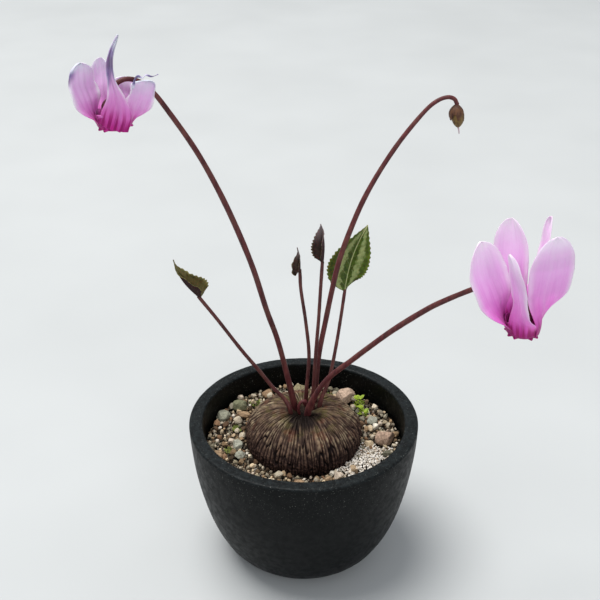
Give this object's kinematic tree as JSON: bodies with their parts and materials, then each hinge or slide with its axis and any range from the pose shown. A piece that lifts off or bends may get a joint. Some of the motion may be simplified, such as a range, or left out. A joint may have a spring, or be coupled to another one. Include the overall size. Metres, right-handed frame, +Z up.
{
  "type": "potted cyclamen",
  "caption": "Small potted cyclamen: bare ridged tuber in a black bowl pot with grit, arching red stalks, nodding pink flowers, a seed pod and young leaves.",
  "frame": {"origin": "centre of the pot's flat foot, on the surface it stands on", "axes": "+Z up along the pot's axis; +X to the right and +Y to the back when the plant is seen from the front, with the open flower at the right"},
  "size_m": [0.1267, 0.0956, 0.1819],
  "materials": {
    "pot_black": "matte",
    "drainage_grit": "matte",
    "potting_grit": "matte",
    "tuber_cork": "matte",
    "flower_stalk": "satin",
    "leaf_stalk": "satin",
    "leaf_green": "satin",
    "leaf_maroon": "satin",
    "petal_fresh": "satin",
    "petal_fading": "satin",
    "corolla_magenta": "satin",
    "calyx_brown": "matte",
    "seed_pod_brown": "matte",
    "style_pink": "satin",
    "anther_yellow": "matte",
    "stone_beige": "matte",
    "stone_grey": "matte",
    "perlite_white": "matte",
    "sprout_green": "satin"
  },
  "bodies": {
    "root": {"drainage_layer": "drainage_grit", "flower_stalk_left": "flower_stalk", "flower_stalk_middle": "flower_stalk", "flower_stalk_right": "flower_stalk", "leaf_back": "leaf_maroon", "leaf_centre": "leaf_maroon", "leaf_left": "leaf_maroon", "leaf_right": "leaf_green", "leaf_stalk_back": "leaf_stalk", "leaf_stalk_centre": "leaf_stalk", "leaf_stalk_left": "leaf_stalk", "leaf_stalk_right": "leaf_stalk", "left_flower_calyx": "calyx_brown", "left_flower_petal_back_left": "petal_fading", "left_flower_petal_back_right": "petal_fading", "left_flower_petal_front": "petal_fading", "left_flower_petal_left": "petal_fading", "left_flower_petal_right": "petal_fading", "left_flower_stamens": "anther_yellow", "left_flower_tube": "corolla_magenta", "new_flower_bud": "flower_stalk", "perlite_patch": "perlite_white", "pot": "pot_black", "right_flower_calyx": "calyx_brown", "right_flower_petal_back_left": "petal_fresh", "right_flower_petal_back_right": "petal_fresh", "right_flower_petal_front": "petal_fresh", "right_flower_petal_left": "petal_fresh", "right_flower_petal_right": "petal_fresh", "right_flower_stamens": "anther_yellow", "right_flower_tube": "corolla_magenta", "seed_pod": "seed_pod_brown", "seed_pod_calyx": "calyx_brown", "seed_pod_style": "style_pink", "soil": "potting_grit", "sprout_back": "sprout_green", "sprout_front": "sprout_green", "stone_back_centre": "stone_grey", "stone_back_left": "stone_grey", "stone_back_left_small": "stone_beige", "stone_back_right": "stone_beige", "stone_front_left": "stone_beige", "stone_front_ring": "stone_beige", "stone_front_small": "stone_beige", "stone_left_grey": "stone_grey", "stone_left_grey_low": "stone_grey", "stone_left_long": "stone_beige", "stone_left_pale": "stone_grey", "stone_right": "stone_beige", "stone_right_small": "stone_grey", "tuber": "tuber_cork"}
  },
  "joints": []
}
